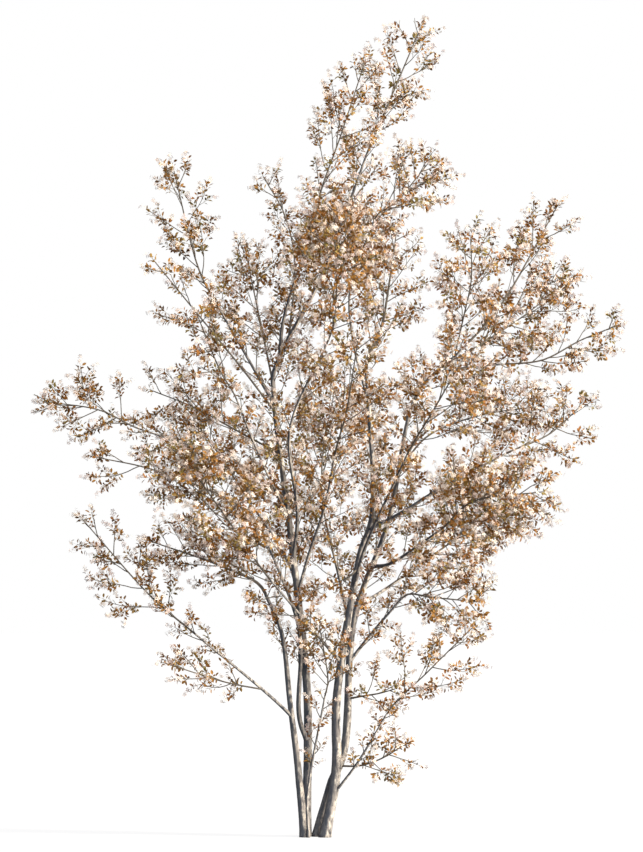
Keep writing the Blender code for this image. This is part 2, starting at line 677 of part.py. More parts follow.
def build_mass(number, mass, spines, spaces):
    """A mass of foliage, joined into one body and seated on the limb that carries it."""
    spine = spines[mass.name]
    bark = finish(mass.name + "_twigs", TWIG_COLOUR, BARK_ROUGHNESS)
    copper = finish(mass.name + "_leaves", LEAF_COLOUR, LEAF_ROUGHNESS)
    white = finish(mass.name + "_blossom", BLOSSOM_COLOUR, LEAF_ROUGHNESS)
    made = make_object(mass.name, tube(spine, STEM_SIDES, ring_shares(spine, STEM_RING_STEP)), bark)
    pieces = []
    for shapes, material in zip(grow_mass(number, mass, spine, spaces), (bark, copper, white)):
        pieces += [make_object("piece", shape, material) for shape in shapes]
    join(made, pieces)
    if mass.share < 1.0:
        seat_against(made, clearance_shape(mass.limb, spines[mass.limb]))


def main():
    for old in list(bpy.data.objects):
        bpy.data.objects.remove(old)
    spines = trace_spines()
    limbs = TRUNKS + BOUGHS
    for number, limb in enumerate(limbs):
        build_limb(limb, spines, limbs[:number])
    spaces = Spaces(spines)
    for number, mass in enumerate(MASSES):
        build_mass(number, mass, spines, spaces)


main()
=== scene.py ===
"""The looks of a six-metre serviceberry shrub in spring bloom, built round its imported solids.

Each stem and bough is replaced by a tube with bark relief. Each mass of foliage is replaced by
twigs that grow by the source's rule, carried on to finer twiglets, and each twiglet ends in a
spray: a rosette of young leaves round a raceme of five-petalled flowers.
"""

import json
import math
from functools import partial
from typing import NamedTuple

import bpy
import numpy as np
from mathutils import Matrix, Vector, noise

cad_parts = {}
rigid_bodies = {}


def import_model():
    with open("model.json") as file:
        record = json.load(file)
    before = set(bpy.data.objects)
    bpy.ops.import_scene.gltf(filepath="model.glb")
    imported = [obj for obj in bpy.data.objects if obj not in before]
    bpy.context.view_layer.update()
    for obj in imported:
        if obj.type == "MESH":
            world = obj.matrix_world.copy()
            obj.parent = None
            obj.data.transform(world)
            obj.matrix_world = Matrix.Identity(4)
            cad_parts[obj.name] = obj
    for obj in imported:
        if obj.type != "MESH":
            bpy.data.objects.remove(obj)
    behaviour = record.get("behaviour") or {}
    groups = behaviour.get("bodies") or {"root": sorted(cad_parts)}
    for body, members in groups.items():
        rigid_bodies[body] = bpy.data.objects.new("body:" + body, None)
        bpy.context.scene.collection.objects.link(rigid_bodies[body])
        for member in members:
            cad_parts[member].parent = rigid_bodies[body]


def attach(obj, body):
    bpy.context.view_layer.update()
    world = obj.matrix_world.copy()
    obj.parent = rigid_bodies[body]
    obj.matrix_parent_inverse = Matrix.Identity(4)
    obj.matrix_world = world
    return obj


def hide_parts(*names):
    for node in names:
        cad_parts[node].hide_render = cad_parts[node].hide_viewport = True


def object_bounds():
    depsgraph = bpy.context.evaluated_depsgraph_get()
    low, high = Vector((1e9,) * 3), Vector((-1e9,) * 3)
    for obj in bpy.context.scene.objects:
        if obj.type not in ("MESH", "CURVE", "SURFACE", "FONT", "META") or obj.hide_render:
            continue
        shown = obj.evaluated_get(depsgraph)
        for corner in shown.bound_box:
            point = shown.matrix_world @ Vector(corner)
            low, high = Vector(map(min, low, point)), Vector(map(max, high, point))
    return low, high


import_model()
CAD_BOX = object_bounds()

# Limbs, in metres, as in the source
FLARE = 0.26
FLARE_HEIGHT = 0.075
FLARE_LOBES = 3
LOBE_DEPTH = 0.07
SPINE_STEP = 0.02
CURVE_SAMPLES = 24
SEAT_GAP = 0.0003
SIDE_STEM_RADIUS = 0.008
SIDE_STEM_SHARE = 0.6
STEM_TIP_RADIUS = 0.0040

# Bark tubes and their relief: its depths, mostly as shares of the radius, and the rates of its noise
TRUNK_SIDES = 26
BOUGH_SIDES = 14
TRUNK_RING_STEP = 0.018
BOUGH_RING_STEP = 0.022
LEAST_RINGS = 8
RELIEF_SHARE = 0.07
RELIEF_LIMIT = 0.0022
SWELLING_SHARE = 0.05
SWELLING_RATE = 4.0
COLLAR_SHARE = 0.55
COLLAR_LENGTH = 0.035
AROUND_RATE = 1.6
FURROW_RATE = 2.2
FURROW_RATE_ALONG = 9.0
GRAIN_SHARE = 0.45
GRAIN_RATE = 6.0
GRAIN_RATE_ALONG = 40.0
NOISE_OFFSET = 7.0

# The growth rule of masses and side shoots
SPACE_GAP = 0.004
LIMB_GAP = 0.006
GROUND_GAP = 0.05
ROOM_AT_ENDS = 0.38
ROOM_FULLNESS = 0.7
ROOM_BY_BARE_STEM = 0.10
ROOM_SAMPLES = 14
GOLDEN_ANGLE = math.radians(137.5)
LIMB_SHOOT_STEP = 0.070
PATH_STEP = 0.045
PATH_WANDER = 0.07
TURN_SPREAD = 0.4
LEAN_SPREAD = 0.2
STEM_SIDES = 7
LEAST_STEM_POINTS = 6
LEAST_TWIGS = 4
TAPER = 0.5
END_SHOOT = 0.04
SPRAY_SPACING = 0.050
SPRAY_LENGTH = 0.08
BOX_SHARE = 0.004

# How long a shoot may be, as shares of the length that its place calls for
TWIG_LENGTHS = (0.9, 1.3)
SIDE_LENGTHS = (0.6, 1.3)
LIMB_SHOOT_LENGTHS = (0.35, 1.0)

# A spray's leaves, about life size with their stalks. A pair is a range of shares
SPRAY_WANDER = 0.15
LEAVES_PER_SPRAY = 9
LEAF_SHARE_GROWN = 0.92
LEAF_LENGTH = 0.051
LEAF_SIZES = (0.72, 1.12)
LEAF_SPACING = 0.0062
LEAF_OPENING = math.radians(58)
LEAF_OPENING_SPREAD = 0.28
LEAF_TURN_SPREAD = 0.5
LEAF_TILT = 0.30

# A spray's raceme of flowers, about life size. A flower opens less the nearer it is to the tip
FLOWERS_PER_SPRAY = 6
FLOWER_SHARE_GROWN = 0.93
FIRST_FLOWER = 0.6
FLOWER_TURN_SPREAD = 0.4
FLOWER_DEGREES_OPEN = 72
FLOWER_DEGREES_CLOSED = 40
FLOWER_OPENING_SPREAD = 0.2
FLOWER_TILT = 0.25
RACEME_LENGTH = 0.068
RACEME_LENGTHS = (0.75, 1.2)
RACEME_LEAN = 0.30
RACEME_DROOP = 0.18
RACEME_BARE_SHARE = 0.25
PEDICEL_LENGTH = 0.015
PEDICEL_LENGTHS = (0.8, 1.2)
PEDICEL_THINNESS = 0.6
PEDICEL_ROLL = 0.3
PETALS = 5
PETAL_LENGTH = 0.0172
PETAL_SIZES = (0.85, 1.15)
PETAL_ROLL = 0.4
STALK_RADIUS = 0.0007

# Directions, and how much of a heading points up where it counts as steep
UP = np.array((0.0, 0.0, 1.0))
ALONG_X = np.array((1.0, 0.0, 0.0))
STEEP = 0.9


class Limb(NamedTuple):
    """A stem or bough: where it leaves its parent, the points it bends through, its radii."""

    name: str
    parent: str
    share: float
    route: tuple
    foot_radius: float
    tip_radius: float


class Mass(NamedTuple):
    """A mass of foliage: where it leaves its limb, its own stem, its reach, its bare foot."""

    name: str
    limb: str
    share: float
    route: tuple
    reach: float
    bare: float = 0.10


class Grade(NamedTuple):
    """A grade of shoot: its spacing on its parent, its lean and lift, its lengths, its look."""

    step: float
    lean: float
    lift: float
    least: float
    most: float
    radius: float
    sides: int
    look: int


# The material numbers of a twig piece
TWIG_LOOK = 0
TWIGLET_LOOK = 1
STALK_LOOK = 2

# Twigs on the stem of a mass, twiglets on a twig, spurs on a twiglet
GRADES = (
    Grade(0.034, math.radians(46), 0.32, 0.08, 0.60, 0.0040, 4, TWIG_LOOK),
    Grade(0.050, math.radians(36), 0.20, 0.06, 0.32, 0.0022, 3, TWIGLET_LOOK),
    Grade(0.040, math.radians(44), 0.12, 0.016, 0.035, 0.0013, 3, TWIGLET_LOOK),
)

# How a mass's twigs crowd towards its foot, how long the finer shoots are against what is left of
# their parent, and how much of a parent is bare below them
SHOOTS_LOW = 1.3
SIDE_SHARE = 0.66
BARE_SHARE = 0.36

TRUNKS = (
    Limb("centre_stem", "", 0.0, ((0.00, 0.00, 0.00), (0.08, 0.00, 0.47), (0.09, 0.00, 1.05),
         (0.24, 0.00, 1.97), (0.35, -0.02, 2.40), (0.30, -0.06, 3.37)), 0.038, 0.013),
    Limb("right_stem", "", 0.0, ((-0.058, 0.066, 0.00), (0.04, 0.11, 0.36), (0.15, 0.13, 0.69),
         (0.21, 0.16, 1.55), (0.47, 0.20, 2.29), (0.65, 0.17, 3.15), (1.00, 0.06, 3.53)),
         0.034, 0.009),
    Limb("back_stem", "", 0.0, ((-0.135, 0.070, 0.00), (-0.13, 0.10, 1.05), (-0.25, 0.08, 2.18),
         (-0.37, 0.02, 3.16), (-0.33, 0.03, 3.47), (-0.01, 0.09, 4.10), (0.31, 0.12, 4.98)),
         0.034, 0.008),
    Limb("left_stem", "", 0.0, ((-0.147, 0.001, 0.00), (-0.20, -0.02, 0.55), (-0.25, -0.02, 0.95),
         (-0.31, -0.03, 1.45), (-0.43, -0.06, 1.75)), 0.030, 0.012),
    Limb("front_shoot", "", 0.0, ((-0.119, -0.034, 0.00), (-0.12, -0.09, 0.36),
         (0.00, -0.18, 1.02)), 0.011, 0.006),
    Limb("inner_stem", "back_stem", 0.13, ((-0.19, 0.05, 0.90), (-0.19, 0.02, 1.50),
         (-0.41, -0.14, 2.11)), 0.019, 0.009),
)

BOUGHS = (
    Limb("low_left_bough", "left_stem", 0.49,
         ((-0.46, -0.08, 1.07), (-0.95, -0.26, 1.48)), 0.012, 0.007),
    Limb("far_left_bough", "back_stem", 0.47,
         ((-0.46, 0.02, 2.58), (-0.73, 0.02, 2.74), (-1.34, -0.02, 2.94)), 0.013, 0.006),
    Limb("left_rise_bough", "back_stem", 0.45,
         ((-0.46, -0.16, 2.71), (-0.63, -0.32, 3.13)), 0.010, 0.006),
    Limb("up_left_bough", "back_stem", 0.61,
         ((-0.51, 0.03, 3.37), (-0.79, 0.05, 3.86)), 0.012, 0.007),
    Limb("inner_bough", "back_stem", 0.39,
         ((-0.20, -0.04, 2.35), (-0.25, -0.16, 2.94), (0.01, -0.30, 3.53)), 0.015, 0.007),
    Limb("upper_left_bough", "back_stem", 0.68,
         ((-0.29, -0.05, 3.78), (-0.09, -0.13, 4.40)), 0.014, 0.007),
    Limb("centre_bough", "back_stem", 0.34,
         ((-0.12, -0.02, 2.02), (0.00, -0.28, 2.38), (0.07, -0.55, 2.73)), 0.013, 0.007),
    Limb("back_left_bough", "back_stem", 0.33,
         ((-0.28, 0.36, 2.00), (-0.63, 0.92, 2.54)), 0.013, 0.007),
    Limb("top_right_bough", "centre_stem", 0.93,
         ((0.20, -0.10, 3.60), (0.19, -0.11, 3.98), (0.36, -0.12, 4.46)), 0.011, 0.006),
    Limb("low_right_bough", "centre_stem", 0.09,
         ((0.24, -0.12, 0.55), (0.44, -0.22, 0.89)), 0.010, 0.006),
    Limb("right_long_bough", "centre_stem", 0.66,
         ((0.55, -0.09, 2.33), (0.84, -0.12, 2.51), (1.31, -0.10, 2.76)), 0.015, 0.007),
    Limb("front_left_bough", "centre_stem", 0.37,
         ((-0.02, -0.14, 1.41), (-0.39, -0.46, 1.85)), 0.011, 0.007),
    Limb("front_right_bough", "centre_stem", 0.53,
         ((0.30, -0.32, 2.11), (0.57, -0.88, 2.71)), 0.013, 0.007),
    Limb("right_low_bough", "right_stem", 0.34,
         ((0.33, 0.12, 1.45), (0.56, 0.02, 1.72)), 0.013, 0.007),
    Limb("right_back_bough", "right_stem", 0.45,
         ((0.44, 0.34, 1.78), (0.84, 0.68, 2.06)), 0.013, 0.007),
    Limb("right_mid_bough", "right_stem", 0.53,
         ((0.50, 0.06, 1.98), (0.82, -0.32, 2.20)), 0.013, 0.007),
    Limb("far_right_bough", "right_stem", 0.93,
         ((1.08, 0.16, 3.41), (1.32, 0.16, 3.43)), 0.010, 0.007),
    Limb("back_bough", "right_stem", 0.38,
         ((0.14, 0.42, 1.71), (0.01, 0.95, 2.29)), 0.014, 0.007),
)

MASSES = (
    Mass("top", "back_stem", 1.0, ((0.43, 0.11, 5.26), (0.70, 0.10, 5.90)), 0.30),
    Mass("top_left", "upper_left_bough", 1.0,
         ((-0.02, -0.16, 4.69), (0.11, -0.18, 5.05), (0.28, -0.18, 5.57)), 0.30),
    Mass("top_right", "top_right_bough", 1.0, ((0.53, -0.12, 4.60), (0.74, -0.10, 4.86)), 0.33),
    Mass("upper_small", "back_stem", 0.71,
         ((-0.22, 0.10, 4.14), (-0.29, 0.10, 4.51), (-0.44, 0.05, 4.78)), 0.24, 0.45),
    Mass("crown_front", "inner_bough", 1.0, ((0.08, -0.58, 3.84), (0.06, -0.95, 4.42)), 0.40),
    Mass("crown_back", "back_stem", 0.80, ((0.07, 0.45, 4.26), (0.31, 0.95, 4.60)), 0.40, 0.25),
    Mass("crown_right", "centre_stem", 1.0, ((0.42, 0.00, 3.72), (0.52, 0.08, 4.36)), 0.31),
    Mass("crown_left", "back_stem", 0.64, ((-0.46, 0.36, 3.67), (-0.60, 0.76, 4.34)), 0.35, 0.25),
    Mass("up_left", "up_left_bough", 1.0, ((-0.94, 0.04, 4.17), (-1.11, 0.02, 4.86)), 0.31),
    Mass("up_left_side", "back_stem", 0.60,
         ((-0.62, -0.12, 3.40), (-0.92, -0.26, 3.76), (-1.21, -0.38, 4.11)), 0.27, 0.35),
    Mass("left_rise", "left_rise_bough", 1.0,
         ((-0.75, -0.54, 3.34), (-0.88, -0.90, 3.66)), 0.33),
    Mass("left_crest", "back_stem", 0.54,
         ((-0.62, 0.20, 2.93), (-0.98, 0.34, 3.13), (-1.27, 0.42, 3.25)), 0.37, 0.30),
    Mass("far_left", "far_left_bough", 1.0, ((-1.64, -0.03, 3.08), (-2.03, -0.02, 3.14)), 0.30),
    Mass("left_back", "back_left_bough", 1.0, ((-0.80, 1.15, 2.80), (-1.05, 1.45, 3.16)), 0.43),
    Mass("left_front", "front_left_bough", 1.0,
         ((-0.62, -0.75, 2.18), (-0.95, -1.20, 2.65)), 0.43),
    Mass("left_inner", "inner_stem", 1.0,
         ((-0.65, -0.30, 2.40), (-1.20, -0.42, 2.62), (-1.60, -0.46, 2.71)), 0.35),
    Mass("left_lower", "left_stem", 1.0, ((-0.73, -0.05, 1.94), (-1.24, 0.04, 2.12)), 0.32),
    Mass("low_left", "low_left_bough", 1.0, ((-1.27, -0.34, 1.76), (-1.70, -0.42, 2.25)), 0.30),
    Mass("low_left_side", "low_left_bough", 0.30,
         ((-0.72, -0.22, 1.12), (-1.12, -0.34, 1.25)), 0.20, 0.15),
    Mass("low_right", "low_right_bough", 1.0, ((0.73, -0.26, 1.19), (1.03, -0.32, 1.49)), 0.32),
    Mass("low_right_side", "right_stem", 0.14,
         ((0.26, 0.04, 0.51), (0.42, -0.02, 0.57), (0.56, -0.08, 0.66)), 0.24, 0.30),
    Mass("low_centre", "right_stem", 0.27,
         ((0.28, 0.06, 1.01), (0.39, 0.00, 1.03), (0.49, -0.06, 1.06)), 0.27, 0.20),
    Mass("shoot_spray", "front_shoot", 1.0, ((0.02, -0.22, 1.16), (-0.04, -0.30, 1.52)), 0.25),
    Mass("centre_low", "centre_stem", 0.57,
         ((0.14, -0.22, 1.84), (0.13, -0.52, 1.88)), 0.34, 0.20),
    Mass("centre_front", "centre_bough", 1.0, ((0.15, -0.85, 3.02), (0.22, -1.15, 3.45)), 0.43),
    Mass("back", "back_bough", 1.0, ((-0.02, 1.25, 2.76), (0.07, 1.62, 3.31)), 0.46),
    Mass("right_low", "right_low_bough", 1.0, ((0.78, -0.10, 1.72), (1.08, -0.24, 1.69)), 0.36),
    Mass("right_lobe_back", "right_back_bough", 1.0,
         ((1.09, 0.95, 2.25), (1.31, 1.25, 2.51)), 0.42),
    Mass("right_lobe_front", "right_mid_bough", 1.0,
         ((1.05, -0.60, 2.40), (1.49, -0.88, 2.45)), 0.39),
    Mass("right_long", "right_long_bough", 1.0, ((1.62, -0.05, 2.90), (1.87, 0.00, 3.12)), 0.34),
    Mass("right_long_side", "right_stem", 0.72,
         ((0.76, 0.28, 2.91), (1.14, 0.27, 3.06), (1.58, 0.16, 3.12)), 0.36, 0.35),
    Mass("far_right", "far_right_bough", 1.0,
         ((1.60, 0.14, 3.46), (1.87, 0.11, 3.60), (2.12, 0.08, 3.70)), 0.26),
    Mass("right_shoulder", "right_stem", 0.95,
         ((1.18, 0.34, 3.61), (1.52, 0.58, 3.85), (1.84, 0.78, 4.12)), 0.34, 0.25),
    Mass("right_crest", "right_stem", 1.0, ((1.31, 0.10, 3.89), (1.69, 0.14, 4.56)), 0.33),
    Mass("right_up", "right_stem", 0.98,
         ((1.00, -0.18, 3.74), (1.04, -0.50, 3.98), (1.02, -0.80, 4.22)), 0.33, 0.20),
    Mass("front_right", "front_right_bough", 1.0,
         ((0.73, -1.15, 2.98), (0.92, -1.45, 3.31)), 0.46),
)

# The masses whose leaves, twigs and blossom are joined, by the region of the crown they are in
REGIONS = {
    "top": ("top", "top_left", "top_right", "upper_small", "crown_front", "crown_back"),
    "upper_left": ("crown_left", "up_left", "up_left_side", "left_rise", "left_crest", "far_left"),
    "left": ("left_back", "left_front", "left_inner", "left_lower", "low_left", "low_left_side"),
    "low": ("low_right", "low_right_side", "low_centre", "shoot_spray", "centre_low", "right_low"),
    "middle": ("centre_front", "back", "front_right", "crown_right", "right_up", "right_crest"),
    "right": ("right_lobe_back", "right_lobe_front", "right_long", "right_long_side",
              "far_right", "right_shoulder"),
}

# How full of twigs the photo shows a mass, where that isn't 1
FULLNESS = {
    "top": 0.64, "top_left": 0.55, "top_right": 1.05, "upper_small": 0.41, "crown_front": 1.00,
    "crown_right": 0.68, "crown_left": 0.62, "up_left": 0.44, "up_left_side": 0.25,
    "left_rise": 0.44, "left_crest": 0.33, "far_left": 0.70, "left_back": 0.66, "left_front": 0.95,
    "left_inner": 0.36, "left_lower": 0.58, "low_left": 0.50, "low_left_side": 0.58,
    "low_right": 0.48, "low_right_side": 0.78, "low_centre": 0.74, "shoot_spray": 1.0,
    "centre_low": 0.10, "centre_front": 0.52, "back": 0.85, "right_lobe_back": 1.3,
    "right_lobe_front": 0.98, "right_long": 0.54, "far_right": 0.50, "right_shoulder": 0.82,
    "right_crest": 0.43, "right_up": 0.58, "front_right": 0.50,
}

# The limbs whose own side shoots are joined with the masses of a region
LIMB_REGIONS = {
    "top": ("upper_left_bough", "top_right_bough"),
    "upper_left": ("far_left_bough", "left_rise_bough", "up_left_bough"),
    "left": ("left_stem", "inner_stem", "low_left_bough", "back_left_bough", "front_left_bough"),
    "low": ("centre_stem", "front_shoot", "low_right_bough", "right_low_bough"),
    "middle": ("back_stem", "inner_bough", "centre_bough", "front_right_bough", "back_bough"),
    "right": ("right_stem", "right_long_bough", "right_back_bough", "right_mid_bough",
              "far_right_bough"),
}

# Where side shoots start on a limb, as a share of its length, and the longest of them
BOUGH_SHOOTS = (0.12, 0.26)
LIMB_SHOOTS = {
    "centre_stem": (0.60, 0.26),
    "right_stem": (0.38, 0.44),
    "back_stem": (0.36, 0.36),
    "left_stem": (0.70, 0.20),
    "inner_stem": (0.30, 0.24),
    "front_shoot": (0.42, 0.16),
    "centre_bough": (0.40, 0.40),
    "back_bough": (0.42, 0.52),
    "right_back_bough": (0.28, 0.50),
    "back_left_bough": (0.36, 0.50),
    "front_left_bough": (0.30, 0.42),
    "front_right_bough": (0.34, 0.42),
    "right_mid_bough": (0.20, 0.38),
    "inner_bough": (0.12, 0.34),
    "far_left_bough": (0.12, 0.34),
    "top_right_bough": (0.58, 0.46),
    "right_long_bough": (0.10, 0.34),
    "low_left_bough": (0.62, 0.24),
    "low_right_bough": (0.30, 0.14),
}

# Base colours of leaves and petals, and the share of sprays in each
LEAF_TINTS = {
    "copper": (0.365, 0.182, 0.044),
    "rust": (0.285, 0.120, 0.026),
    "umber": (0.175, 0.084, 0.022),
    "gold": (0.36, 0.225, 0.066),
    "olive": (0.25, 0.185, 0.050),
}
LEAF_TINT_SHARES = (0.36, 0.26, 0.14, 0.16, 0.08)
PETAL_TINTS = {
    "white": (0.93, 0.82, 0.71),
    "blush": (0.89, 0.73, 0.61),
    "mauve": (0.78, 0.64, 0.58),
}
PETAL_TINT_SHARES = (0.44, 0.34, 0.22)
TWIG_COLOUR = (0.165, 0.143, 0.115)
TWIGLET_COLOUR = (0.27, 0.24, 0.17)
STALK_COLOUR = (0.44, 0.37, 0.21)

# Roughness of each surface, and the relief of veins and rind on leaves, petals and twigs
LEAF_ROUGHNESS = 0.5
PETAL_ROUGHNESS = 0.6
TWIG_ROUGHNESS = 0.8
TWIGLET_ROUGHNESS = 0.7
STALK_ROUGHNESS = 0.7
BARK_ROUGHNESS = 0.85
SPECULAR = 0.2
RELIEF_DETAIL = 3.0
RELIEF_STRENGTH = 0.6
VEIN_SCALE = 160.0
VEIN_DEPTH = 0.0006
BARK_GRAIN_SCALE = 90.0
BARK_GRAIN_DEPTH = 0.002

# Bark, pale under its layers. Each layer has a name, its scale, how far it is drawn out along Z,
# where it begins and is full, and its colour
PALE_BARK = (0.50, 0.455, 0.400)
BARK_LAYERS = (
    ("streaks", 40.0, 0.12, (0.38, 0.60), (0.27, 0.250, 0.235)),
    ("lichen", 48.0, 0.45, (0.50, 0.58), (0.66, 0.61, 0.53)),
    ("stains", 36.0, 0.35, (0.58, 0.66), (0.085, 0.085, 0.09)),
)
LAYER_DETAIL = 5.0

# The side where shade is painted: slate grey over the bark on the side away from the key sun, with a
# ragged edge
SHADED_SIDE = (-0.95, -0.25, 0.10)
SHADE_EDGE = (0.46, 0.76)
SHADE_STRENGTH = 0.86
SHADE_RAGGEDNESS = 0.8
SHADE_SLATE = (0.052, 0.068, 0.094)

# The numbers of a colour mix's sockets
MIX_FACTOR = 0
MIX_UNDER = 6
MIX_OVER = 7
MIX_RESULT = 2


def unit(vector):
    """A vector, or each row of an array of them, at unit length."""
    return vector / np.linalg.norm(vector, axis=-1, keepdims=True)


def across(heading):
    """A unit vector at right angles to a heading."""
    return unit(np.cross(heading, UP if abs(heading[2]) < STEEP else ALONG_X))


def turned(vector, axis, angle):
    """A vector turned round an axis that it is at right angles to."""
    return vector * math.cos(angle) + np.cross(axis, vector) * math.sin(angle)


class Spine:
    """A smooth curve through a few points, with a radius that tapers along it."""

    def __init__(self, points, foot_radius, tip_radius, heading=None, grounded=False):
        self.points = resample(smooth_curve(points, heading), SPINE_STEP)
        steps = np.linalg.norm(np.diff(self.points, axis=0), axis=1)
        self.distances = np.concatenate(([0.0], np.cumsum(steps)))
        self.length = float(self.distances[-1])
        self.foot_radius = foot_radius
        self.tip_radius = tip_radius
        self.grounded = grounded

    def point(self, share):
        """The place at a share of the length."""
        distance = share * self.length
        return np.array([np.interp(distance, self.distances, self.points[:, axis])
                         for axis in range(3)])

    def heading(self, share):
        """The direction of growth at a share of the length."""
        step = SPINE_STEP / self.length
        return unit(self.point(min(1.0, share + step)) - self.point(max(0.0, share - step)))

    def radius(self, share):
        """The radius at a share of the length, with the root flare."""
        radius = self.foot_radius + (self.tip_radius - self.foot_radius) * share
        return radius * (1.0 + FLARE * self.flare(share))

    def flare(self, share):
        """How much of the root flare is left at a share of the length."""
        return math.exp(-share * self.length / FLARE_HEIGHT) if self.grounded else 0.0


def smooth_curve(points, heading):
    """Points of a Catmull-Rom curve, leaving its first point along the heading if one is given."""
    knots = [np.array(point, dtype=float) for point in points]
    span = np.linalg.norm(knots[1] - knots[0])
    before = 2.0 * knots[0] - knots[1]
    if heading is not None:
        before = knots[1] - 2.0 * span * np.array(heading)
    knots = [before, *knots, 2.0 * knots[-1] - knots[-2]]
    curve = []
    for first in range(len(knots) - 3):
        a, b, c, d = knots[first:first + 4]
        for t in np.linspace(0.0, 1.0, CURVE_SAMPLES, endpoint=False):
            curve.append(0.5 * (2.0 * b + (c - a) * t + (2.0 * a - 5.0 * b + 4.0 * c - d) * t ** 2
                                + (3.0 * b - a - 3.0 * c + d) * t ** 3))
    curve.append(knots[-2])
    return np.array(curve)


def resample(curve, step):
    """The same curve in points that lie an even step apart."""
    distances = np.concatenate(([0.0], np.cumsum(np.linalg.norm(np.diff(curve, axis=0), axis=1))))
    count = max(2, round(distances[-1] / step) + 1)
    even = np.linspace(0.0, distances[-1], count)
    return np.column_stack([np.interp(even, distances, curve[:, axis]) for axis in range(3)])


def trace_spines():
    """The spine of every limb and mass, each starting on the limb that carries it."""
    spines = {}
    for limb in TRUNKS + BOUGHS:
        if limb.parent:
            root = spines[limb.parent].point(limb.share)
            spines[limb.name] = Spine((root, *limb.route), limb.foot_radius, limb.tip_radius)
        else:
            spines[limb.name] = Spine(limb.route, limb.foot_radius, limb.tip_radius, grounded=True)
    for mass in MASSES:
        carrier = spines[mass.limb]
        root, heading = carrier.point(mass.share), carrier.heading(mass.share)
        if mass.share == 1.0:
            root = root + heading * SEAT_GAP
            radius = carrier.tip_radius
        else:
            heading = None
            radius = min(SIDE_STEM_RADIUS, SIDE_STEM_SHARE * carrier.radius(mass.share))
        spines[mass.name] = Spine((root, *mass.route), radius, STEM_TIP_RADIUS, heading)
    return spines


def room_share(mass, share):
    """How much of a mass's reach its twigs have at a share of its stem."""
    if share < mass.bare:
        return ROOM_BY_BARE_STEM
    leafy = (share - mass.bare) / (1.0 - mass.bare)
    return ROOM_AT_ENDS + (1.0 - ROOM_AT_ENDS) * math.sin(math.pi * leafy) ** ROOM_FULLNESS


class Spaces:
    """The room that each mass keeps to, as balls along its stem, and the limbs to stay clear of."""

    def __init__(self, spines):
        shares = np.linspace(0.0, 1.0, ROOM_SAMPLES)
        low, high = (np.array(corner) for corner in CAD_BOX)
        self.low = low - BOX_SHARE * (high - low)
        self.high = high + BOX_SHARE * (high - low)
        self.centres = np.array([spines[mass.name].point(share)
                                 for mass in MASSES for share in shares])
        self.radii = np.array([mass.reach * room_share(mass, share)
                               for mass in MASSES for share in shares])
        limb_spines = [spines[limb.name] for limb in TRUNKS + BOUGHS]
        self.limb_points = np.concatenate([spine.points for spine in limb_spines])
        self.limb_radii = np.concatenate([
            [spine.radius(share) for share in np.linspace(0.0, 1.0, len(spine.points))]
            for spine in limb_spines])

    def in_box(self, points):
        """For each point, whether it lies hardly farther out than the solids reach."""
        return ((points > self.low) & (points < self.high)).all(axis=1)

    def clear(self, points, near):
        """For each point, whether it is off every limb, above the ground and in the box."""
        offsets = points[:, None, :] - self.limb_points[None, :, :]
        clearance = (np.linalg.norm(offsets, axis=2) - self.limb_radii).min(axis=1)
        return (clearance > near) & (points[:, 2] > GROUND_GAP) & self.in_box(points)

    def inside(self, number, points):
        """For each point, whether it lies in the room of one mass and is clear of the limbs."""
        offsets = points[:, None, :] - self.centres[None, :, :]
        filled = np.linalg.norm(offsets, axis=2) / self.radii
        filled = filled.reshape(len(points), len(MASSES), ROOM_SAMPLES).min(axis=2)
        own = filled[:, number].copy()
        filled[:, number] = np.inf
        margin = SPACE_GAP / MASSES[number].reach
        return (own < 1.0) & (own + margin < filled.min(axis=1)) & self.clear(points, LIMB_GAP)


class Shapes:
    """Triangles gathered for one joined mesh, with a material number for each."""

    def __init__(self):
        self.verts, self.faces, self.looks = [], [], []
        self.count = 0

    def add(self, verts, faces, looks):
        """Takes in a shape, with one material number for all its faces or one for each."""
        self.verts.append(verts)
        self.faces.append(faces + self.count)
        self.looks.append(np.broadcast_to(looks, (len(faces),)))
        self.count += len(verts)

    def make(self, name, materials, smooth=False):
        """Makes one object of all that was added, riding on the plant's only body."""
        verts, faces = np.concatenate(self.verts), np.concatenate(self.faces)
        mesh = bpy.data.meshes.new(name)
        mesh.vertices.add(len(verts))
        mesh.vertices.foreach_set("co", verts.astype(np.float32).ravel())
        mesh.loops.add(faces.size)
        mesh.loops.foreach_set("vertex_index", faces.astype(np.int32).ravel())
        mesh.polygons.add(len(faces))
        mesh.polygons.foreach_set("loop_start", np.arange(0, faces.size, 3, dtype=np.int32))
        mesh.polygons.foreach_set("material_index", np.concatenate(self.looks).astype(np.int32))
        for material in materials:
            mesh.materials.append(material)
        mesh.update(calc_edges=True)
        mesh.validate()
        if smooth:
            mesh.shade_smooth()
        made = bpy.data.objects.new(name, mesh)
        bpy.context.scene.collection.objects.link(made)
        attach(made, "root")
        return made


